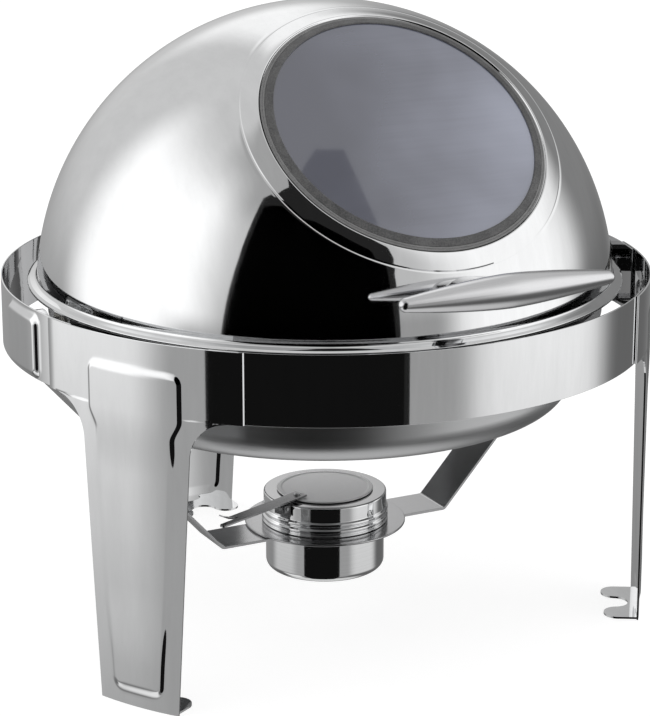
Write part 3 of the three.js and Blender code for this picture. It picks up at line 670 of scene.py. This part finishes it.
def strip_sheet(start, end, panel_at=None):
    """Ring strip between two directions, with a pressed panel where the lid turns."""
    p = PIVOT_PANEL
    heights = spaced(
        (RING_BOTTOM, 0), (p["bottom"], 3), (p["bottom"] + p["slope"] * 2, 10),
        (p["top"] - p["slope"] * 2, 10), (p["top"], 10), (RING_TOP, 4),
    )
    angles = np.radians(np.linspace(start, end, int((end - start) * STRIP_FACETS_PER_DEG)))
    if panel_at is not None:
        half, side = p["half"], p["half"] - p["corner"]
        across = spaced((-half, 0), (-side, 12), (0, 12), (side, 12), (half, 12))
        around = np.radians(panel_at) + across / RING_R
        outside = (angles < around[0]) | (angles > around[-1])
        angles = np.unique(np.concatenate([angles[outside], around]))
    rows = []
    for z in heights:
        lift = np.zeros_like(angles)
        if panel_at is not None:
            inside_x = p["half"] - np.abs(angles - math.radians(panel_at)) * RING_R
            inside_z = np.minimum(z - p["bottom"] + p["slope"] / 2, p["top"] + p["slope"] / 2 - z)
            lift = pressed(inside_x, inside_z, p["corner"], p["slope"], p["slope"], p["raise"])
        radius = RING_R + lift
        level = np.full_like(angles, z)
        rows.append(np.stack([radius * np.cos(angles), radius * np.sin(angles), level], -1))
    return sheet_shell(np.array(rows), SHEET)


def make_strips():
    reach = HEAD_HALF_DEG - TUCK_DEG
    left, right, back = LEG_DEG["leg_front_left"], LEG_DEG["leg_front_right"], LEG_DEG["leg_back"]
    spans = {
        "ring_strip_front": (left + reach, right - reach, None),
        "ring_strip_left": (back + reach, left - reach, 180),
        "ring_strip_right": (right - 360 + reach, back - reach, 0),
    }
    for name, (start, end, panel_at) in spans.items():
        make(name + "_sheet", strip_sheet(start, end, panel_at), "frame", RING_STEEL, [name])


# ------------------------------------------------------------------ lid
def window_seat_line():
    """Section of the pressed window seat, (radius, height) about the window axis, inwards."""
    on_sphere = (SEAT_EDGE_R, math.sqrt(DOME_R**2 - SEAT_EDGE_R**2))
    return fillet_line([
        on_sphere, (112.4, 171.2, 0.7), (111.6, 171.95, 0.8), (106.5, 174.9, 60),
        (CREST_R, CREST_D, 2.5), (GASKET_R + 0.3, SEAT_D, 0.8), (96.5, SEAT_D),
    ], 6)


def lip_line():
    """Section of the lid's rolled edge from the sphere downwards, heights about the pivot."""
    lip = LIP_BOTTOM - PIVOT_Z
    start = math.radians(LIP_START_DEG)
    return fillet_line([
        (DOME_R * math.cos(start), DOME_R * math.sin(start)),
        (204.7, lip + 4.4, 3.6), (209.6, lip + 3.2, 1.6), (LIP_R, lip + 2.1, 0.9),
        (LIP_R, lip + 0.6, 0.5), (LIP_R - 1.2, lip),
    ], 6)


def dome_grid():
    """Points of the lid's outer face: window seat, sphere, then rolled edge, top row first."""
    columns, arc_rows = 300, 76
    seat, lip = window_seat_line()[::-1], lip_line()
    axis = np.array([0, -math.cos(WINDOW_TILT), math.sin(WINDOW_TILT)])
    side = np.array([1.0, 0, 0])
    up = np.cross(axis, side)
    around = np.linspace(0, 2 * math.pi, columns, endpoint=False)
    level = math.radians(LIP_START_DEG)
    grid = []
    for t in around:
        low = np.array([math.cos(level) * math.cos(t), math.cos(level) * math.sin(t), math.sin(level)])
        flat = low - axis * (low @ axis)
        flat /= np.linalg.norm(flat)
        column = [axis * d + flat * r for r, d in seat]
        first = math.asin(seat[-1][0] / DOME_R)
        last = math.acos(low @ axis)
        for k in range(1, arc_rows):
            a = first + (last - first) * k / arc_rows
            column.append(DOME_R * (axis * math.cos(a) + flat * math.sin(a)))
        column += [np.array([r * math.cos(t), r * math.sin(t), z]) for r, z in lip]
        grid.append(column)
    return np.array(grid).transpose(1, 0, 2) + (0, 0, PIVOT_Z)


def make_dome():
    points = dome_grid()[:, ::-1]
    make("lid_dome", sheet_shell(points, SHEET, around=True), "lid", MIRROR, ["lid_shell"],
         bevel=0.2)


def make_window():
    """Glass, its stepped gasket and the clamping ring, all about the window axis."""
    lip, slot = SEAT_D + 3.6, GLASS_R + 0.3
    gasket = closed_outline([
        (GLASS_VISIBLE_R, GLASS_TOP_D + 0.1), (slot, GLASS_TOP_D + 0.1),
        (slot, GLASS_UNDER_D - 0.3, 0.2), (GLASS_VISIBLE_R, GLASS_UNDER_D - 0.3, 0.2),
        (GLASS_VISIBLE_R, SEAT_D - 3.6, 0.3),
        (GASKET_R, SEAT_D - 3.6, 0.3), (GASKET_R, SEAT_D - 2, 0.2), (95.7, SEAT_D - 2, 0.2),
        (95.7, SEAT_D + 0.2, 0.2), (GASKET_R, SEAT_D + 0.2, 0.1), (GASKET_R - 0.2, SEAT_D + 0.5, 0.2),
        (98.5, SEAT_D + 0.9, 0.2), (98.3, SEAT_D + 0.6, 0.1), (98.0, SEAT_D + 1.05, 0.2),
        (97.1, SEAT_D + 1.35, 0.2), (96.8, SEAT_D + 1.0, 0.1), (96.5, SEAT_D + 1.65, 0.3),
        (92.2, lip, 0.5), (91.7, lip, 0.2), (GLASS_VISIBLE_R, lip - 0.3, 0.1),
    ], 3)
    glass = closed_outline([
        (0, GLASS_UNDER_D), (GLASS_R, GLASS_UNDER_D, 0.6), (GLASS_R, GLASS_TOP_D, 0.6),
        (0, GLASS_TOP_D),
    ], 4)
    ring = closed_outline([
        (GLASS_VISIBLE_R, SEAT_D - 5.2, 0.3), (GASKET_R + 1, SEAT_D - 5.2, 0.3),
        (GASKET_R + 1, SEAT_D - 3.9, 0.3), (GLASS_VISIBLE_R, SEAT_D - 3.9, 0.3),
    ], 3)
    parts = [
        ("window_gasket_ring", gasket, GASKET_RUBBER, "window_gasket", "gasket_silicone"),
        ("window_pane", glass, GLASS, "window_glass", "window_glass"),
        ("window_clamp_ring", ring, SATIN, "window_retainer", "satin_steel"),
    ]
    for name, outline, material, node, slot_name in parts:
        part = turned_by(lathe(outline), WINDOW_FRAME)
        make(name, part, "lid", material, [node], bevel=0, flats=True)


def grip_radius(s):
    """Half thickness of the grip at a share s of its half length."""
    return HANDLE_R * (1 - 0.58 * s**1.6)


def grip_ridge(t):
    """Share of the radius at a direction round the grip, whose section is a soft diamond."""
    turn = t - math.radians(RIDGE_DEG)
    total = abs(math.cos(turn)) ** RIDGE_POWER + abs(math.sin(turn)) ** RIDGE_POWER
    return total ** (-1 / RIDGE_POWER)


def grip_surface():
    """Spindle with a soft ridge along its front, as stations of closed sections along X."""
    tip = grip_radius(1)
    straight = HANDLE_HALF - tip
    shares = np.linspace(-1, 1, 97)
    stations = [(s * straight, grip_radius(abs(s))) for s in shares]
    cap_turn = np.radians([15, 30, 45, 60, 75, 86])
    cap = [(straight + tip * math.sin(a), tip * math.cos(a)) for a in cap_turn]
    stations = [(-x, r) for x, r in reversed(cap)] + stations + cap
    turn = np.linspace(0, 2 * math.pi, 96, endpoint=False)
    section = [(grip_ridge(t) * math.cos(t), grip_ridge(t) * math.sin(t)) for t in turn]
    rows = [[(x, r * y, r * z) for y, z in section] for x, r in stations]
    verts, faces = capped_tube(rows)
    return verts + (0, HANDLE_Y, HANDLE_Z), faces


def stem_surface():
    """Oval stem from the dome to the grip, flaring a little where it meets the dome."""
    tilt = math.atan2(HANDLE_Z - PIVOT_Z, -HANDLE_Y)
    end = math.hypot(HANDLE_Y, HANDLE_Z - PIVOT_Z) - HANDLE_R * 0.35
    half_x, half_z = STEM_HALF
    turn = np.linspace(0, 2 * math.pi, 72, endpoint=False)
    rows = []
    for share in np.linspace(0, 1, 17):
        flare = 1 + 0.1 * max(0, 1 - share * 5) ** 2
        row = []
        for t in turn:
            x, v = half_x * flare * math.cos(t), half_z * flare * math.sin(t)
            foot = math.sqrt((DOME_R + 0.3) ** 2 - x * x - v * v)
            reach = foot + (end - foot) * share
            row.append((x, -(reach * math.cos(tilt) - v * math.sin(tilt)),
                        PIVOT_Z + reach * math.sin(tilt) + v * math.cos(tilt)))
        rows.append(row)
    return capped_tube(rows)


def make_handle():
    make("handle_grip", grip_surface(), "lid", HANDLE_STEEL, ["lid_handle"],
         bevel=0, sharp_deg=60)
    make("handle_stem_oval", stem_surface(), "lid", HANDLE_STEEL, ["handle_stem"],
         bevel=0.3)


# ------------------------------------------------------------------ pans
PAN_T = 1.2


def make_pans():
    water_bottom = from_box("water_pan", LOW, 2) + PAN_T / 2
    rim_z = from_box("water_pan", HIGH, 2)
    water = fillet_line([
        (0, water_bottom), (177.2, water_bottom, 19), (177.4, 215, 8), (186, 225.6, 6),
        (196.9, 226.9, 2.5), (196.9, rim_z),
    ], 12)
    food_bottom = from_box("food_pan", LOW, 2) + PAN_T / 2
    food_rim = from_box("food_pan", HIGH, 2) - PAN_T / 2
    food = fillet_line([
        (0, food_bottom), (166, food_bottom, 14), (171.5, 224, 6), (175, food_rim, 4), (191, food_rim),
    ], 10)
    for name, line, node, body in (("water_pan_body", water, "water_pan", "frame"),
                                   ("food_pan_body", food, "food_pan", "food_pan")):
        make(name, lathe(thin_section(line, PAN_T)), body, PAN_STEEL, [node], flats=True)


# ------------------------------------------------------------------ burner bracket
def strip_along(line, thickness, width):
    """Bent strip with its profile in the XZ plane, centred on y = 0."""
    section = thin_section(line, thickness)
    verts = [(x, y, z) for y in (-width / 2, width / 2) for x, z in section]
    count = len(section)
    half = count // 2
    faces = []
    for j in range(count):
        k = (j + 1) % count
        faces.append([j, k, k + count, j + count])
    for j in range(half - 1):
        faces.append([j, count - 1 - j, count - 2 - j, j + 1])
        faces.append([count + j, count + j + 1, 2 * count - 2 - j, 2 * count - 1 - j])
    return np.array(verts, float), faces


def make_burner_bracket():
    arm_top = from_box("burner_arm_right", HIGH, 2)
    arm_z = from_box("burner_arm_right", LOW, 2) + ARM_T / 2
    line = fillet_line([
        (46.5, arm_z), (91, arm_z, 4), (ARM_WALL_X, arm_top - 12, 4), (ARM_WALL_X, arm_top),
    ], 8)
    arm = strip_along(line, ARM_T, ARM_WIDTH)
    for side, turn in (("right", 0), ("left", 180)):
        make(f"burner_arm_{side}_strip", about_z(arm, turn), "frame", BRACKET_STEEL,
             [f"burner_arm_{side}"], flats=True)
    hole = CUP_R + 0.7
    plate = closed_outline([
        (hole, PLATE_Z, 0.3), (PLATE_R, PLATE_Z, 0.5), (PLATE_R, PLATE_Z + PLATE_T, 0.5),
        (hole, PLATE_Z + PLATE_T, 0.3),
    ], 3)
    make("burner_plate_ring", lathe(plate), "frame", BRACKET_STEEL, ["burner_plate"],
         bevel=0, flats=True)


# ------------------------------------------------------------------ fuel holder
def make_fuel_holder():
    wall = CUP_T
    cup = fillet_line([
        (0, CUP_BOTTOM + wall / 2), (CUP_R - wall / 2, CUP_BOTTOM + wall / 2, 5),
        (CUP_R - wall / 2, CAP_TOP - 1.6),
    ], 10)
    make("fuel_cup_body", lathe(thin_section(cup, wall), ROUND_SMALL), "fuel_holder", CUP_STEEL,
         ["fuel_cup"], bevel=0.15, flats=True)
    bottom = PLATE_Z + PLATE_T + 0.3
    inner = CUP_R + 0.5
    beads = []
    for z in (bottom + 4, bottom + 9):
        beads += [(CAP_R, z - 2.2, 0.8), (BEAD_R, z - 0.8, 0.9), (BEAD_R, z + 0.8, 0.9),
                  (CAP_R, z + 2.2, 0.8)]
    collar = closed_outline([
        (inner, bottom, 0.2), (BEAD_R, bottom, 0.5), (BEAD_R, bottom + 1.2, 0.5),
        *beads, (CAP_R, CAP_TOP, 1.2), (33, CAP_TOP, 0.3), (33, CAP_TOP - 1, 0.3),
        (inner, CAP_TOP - 1, 0.3),
    ], 4)
    make("fuel_collar_body", lathe(collar, ROUND_SMALL), "fuel_holder", CUP_STEEL,
         ["fuel_cup_collar"], bevel=0, flats=True)


def make_eyelet():
    """Small eyelet in the collar's wall, made as a raised ring without the hole through which the cup's
    edge is seen.
    """
    eyelet = closed_outline([
        (0, -0.3), (1.0, -0.3, 0.2), (1.6, 0.5, 0.3), (2.4, 0.5, 0.4), (3.0, -0.4), (0, -0.9),
    ], 4)
    turn = Matrix.Rotation(math.radians(EYELET_DEG), 4, "Z") @ Matrix.Translation((CAP_R, 0, EYELET_Z))
    part = turned_by(lathe(eyelet, 48), turn @ Matrix.Rotation(math.radians(90), 4, "Y"))
    make("collar_eyelet", part, "fuel_holder", CUP_STEEL, bevel=0)


def make_snuffer():
    top = SNUFFER_TOP
    disc = closed_outline([
        (0, top - 1.2), (SNUFFER_R - 0.4, top - 1.2, 0.4), (SNUFFER_R, top - 0.6, 0.3),
        (SNUFFER_R - 0.5, top, 0.4), (SNUFFER_R - 3, top, 0.4), (SNUFFER_R - 4, top - 0.25, 0.4),
        (0, top - 0.25),
    ], 4)
    make("snuffer_disc_plate", lathe(disc, ROUND_SMALL), "snuffer", DISC_STEEL, ["snuffer_disc"],
         bevel=0, flats=True)


# ------------------------------------------------------------------ carried-over CAD nodes
CARRIED = [
    (MIRROR, ["pivot_bracket_left", "pivot_bracket_right"]),
    (NYLON, ["pivot_bush_left", "pivot_bush_right"]),
    (LEVER_STEEL, ["snuffer_hinge", "snuffer_lever"]),
    (SATIN, [
        "pivot_pin_left", "pivot_pin_right", "pivot_circlip_left", "pivot_circlip_right",
        "pan_support_side_left", "pan_support_side_right",
        "pan_support_front_left", "pan_support_front_right",
        "lid_ear_left", "lid_ear_right", "handle_backing_plate",
        "handle_screw_left", "handle_screw_right", "snuffer_hinge_pin", "snuffer_rivet",
    ]),
]


def finish_carried_nodes():
    """Gives each CAD node that stays its material and a small round on its edges."""
    for material, names in CARRIED:
        for name in names:
            node = frame["nodes"][name]
            node.data.materials.clear()
            node.data.materials.append(material)
            round_edges(node, 0.2, 40)


# ------------------------------------------------------------------ studio
CAMERA_AT = AXIS + Vector((-0.8159, -1.5783, 0.7125))
CAMERA_DOWN_DEG = 16.505
CAMERA_TURN_DEG = -27.34
LENS_MM = 129.06
SENSOR_MM = 36
CAMERA_REACH = 200.0
FLOOR_HALF = 60.0
FAR = 30.0  # distance of the dark cards, so that they act as directions
SKY_LOW = {"elevation": -45, "brightness": 0.15}
SKY_HIGH = {"elevation": 22, "brightness": 0.78}


TO_CAMERA = math.atan2(CAMERA_AT.y - AXIS.y, CAMERA_AT.x - AXIS.x)


def direction(azimuth, elevation):
    """Unit vector from the object. Azimuth 0 is towards the camera, and grows to its right."""
    a, e = TO_CAMERA + math.radians(azimuth), math.radians(elevation)
    return Vector((math.cos(a) * math.cos(e), math.sin(a) * math.cos(e), math.sin(e)))


def make_camera():
    data = bpy.data.cameras.new("camera")
    data.lens = LENS_MM
    data.sensor_width = SENSOR_MM
    camera = bpy.data.objects.new("camera", data)
    bpy.context.scene.collection.objects.link(camera)
    camera.location = CAMERA_AT
    camera.rotation_euler = (math.radians(90 - CAMERA_DOWN_DEG), 0, math.radians(CAMERA_TURN_DEG))
    data.clip_end = CAMERA_REACH
    bpy.context.scene.camera = camera


# Soft panels of light and shade all round, mixed one over the other, in degrees:
# (azimuth, half width, soft edge, elevation, half height, soft edge, brightness)
PANELS = [
    (-150, 26, 16, 46, 32, 22, 0.8),
    (-20, 30, 30, 62, 16, 16, 0.5),
    (36, 6, 14, 24, 26, 20, 0.7),
    (182, 10, 14, 38, 16, 14, 1.3),
    (-81, 22, 24, 14, 18, 28, 1.5),
    (-46, 6, 20, -20, 10, 12, 0.46),
    (-75, 16, 12, -46, 8, 8, 1.1),
    (82, 15, 34, 16, 24, 26, 1.38),
    (34, 8, 14, -16, 14, 12, 0.44),
    (150, 16, 20, 5, 22, 18, 0.29),
    (137, 10, 22, -30, 16, 16, 0.17),
    (0, 180, 1, -90, 26, 16, 0.85),
]


def soft_mask(graph, value, centre, half, soft):
    """1 within half of the centre and 0 beyond half + soft, all in degrees."""
    away = graph.math("ABSOLUTE", graph.math("SUBTRACT", value, math.radians(centre)))
    return graph.ramp(away, math.radians(half), math.radians(half + soft), 1.0, 0.0)


def make_sky():
    """White studio with soft panels for what the steel reflects."""
    world = bpy.data.worlds.new("studio")
    world.use_nodes = True
    bpy.context.scene.world = world
    graph = Graph(world.node_tree)
    world.node_tree.nodes.clear()
    heading = graph.node("ShaderNodeTexCoord").outputs["Generated"]
    parts = graph.parts(heading)
    azimuth = graph.math("SUBTRACT", graph.math("ARCTAN2", parts["Y"], parts["X"]), TO_CAMERA)
    elevation = graph.math("ARCSINE", parts["Z"])
    value = graph.ramp(
        elevation, math.radians(SKY_LOW["elevation"]), math.radians(SKY_HIGH["elevation"]),
        SKY_LOW["brightness"], SKY_HIGH["brightness"],
    )
    for centre, half, soft, height, half_height, soft_height, brightness in PANELS:
        shifted = graph.math("SUBTRACT", azimuth, math.radians(centre))
        wrapped = graph.math("WRAP", shifted, math.pi, -math.pi)
        side = soft_mask(graph, wrapped, 0, half, soft)
        level = soft_mask(graph, elevation, height, half_height, soft_height)
        value = graph.mix(graph.math("MULTIPLY", side, level), value, brightness)
    seen = graph.node("ShaderNodeLightPath").outputs["Is Camera Ray"]
    value = graph.mix(seen, value, 1.0)
    background = graph.node("ShaderNodeBackground", {"Strength": value})
    output = graph.node("ShaderNodeOutputWorld")
    world.node_tree.links.new(background.outputs[0], output.inputs["Surface"])


def stage_material(name, albedo, glow):
    material, graph, shader = new_material(name)
    speckle = graph.noise(place_of(graph), 40.0, 2.0, 0.5)
    shade = graph.ramp(speckle, 0.3, 0.7, albedo * 0.99, albedo)
    colour = graph.node("ShaderNodeCombineColor", {0: shade, 1: shade, 2: shade}).outputs[0]
    graph.feed(shader.inputs["Base Color"], colour)
    shader.inputs["Roughness"].default_value = 1.0
    shader.inputs["Specular IOR Level"].default_value = 0.0
    shader.inputs["Emission Color"].default_value = (1, 1, 1, 1)
    shader.inputs["Emission Strength"].default_value = glow
    return material


def stage_mesh(name, verts, faces, material):
    mesh = bpy.data.meshes.new(name)
    mesh.from_pydata([tuple(v) for v in verts], [], faces)
    mesh.materials.append(material)
    piece = bpy.data.objects.new(name, mesh)
    bpy.context.scene.collection.objects.link(piece)
    return piece


def make_floor():
    half = FLOOR_HALF
    corners = [(-half, -half, 0), (half, -half, 0), (half, half, 0), (-half, half, 0)]
    floor = stage_mesh("floor", corners, [(0, 1, 2, 3)], stage_material("pale_floor", 0.45, 0.8))
    floor.visible_glossy = False


def make_card(name, corners, distance, glow):
    """Dark card seen only in reflections, given by the directions of its corners."""
    middle = sum((direction(*c) for c in corners), Vector()).normalized()
    verts = [middle * distance] + [direction(*c) * distance for c in corners]
    verts = [v + Vector((0, AXIS.y, PIVOT.z)) for v in verts]
    count = len(corners)
    faces = [(0, 1 + i, 1 + (i + 1) % count) for i in range(count)]
    card = stage_mesh(name, verts, faces, stage_material(name + "_paint", 0.0, glow))
    for kind in ("camera", "diffuse", "transmission", "shadow", "volume_scatter"):
        setattr(card, "visible_" + kind, False)


def make_cards():
    """The dark side of the studio round the camera, a paler band behind it, and one lamp's back."""
    make_card("dark_side", [
        (-39, -8), (-34, 22), (-31, 43), (-27, 44), (-5, 44), (12, 40), (22, 33), (25, 22), (27, -8),
    ], FAR, 0.0)
    make_card("dark_ground", [(-40, -62), (-40, -16), (-39, -8), (27, -8), (27, -62)], FAR, 0.006)
    make_card("dark_band", [
        (-40, -64), (-41, -16), (-36, 22), (-33, 46), (-24, 51), (-10, 60), (4, 70), (20, 63), (32, 51),
        (35, 40), (31, 28), (28, 18), (29, -16), (29, -64),
    ], 2 * FAR, 0.018)
    make_card("lamp_back", [
        (108.18, 63.44), (108.26, 62.76), (104.48, 61.76), (103.83, 62.07), (105.9, 63.86),
        (107.15, 63.7),
    ], FAR, 0.36)


make_camera()
make_sky()
make_floor()
make_cards()

make_legs()
make_strips()
make_dome()
make_window()
make_handle()
make_pans()
make_burner_bracket()
make_fuel_holder()
make_eyelet()
make_snuffer()
finish_carried_nodes()

bpy.context.scene.view_settings.view_transform = "Standard"
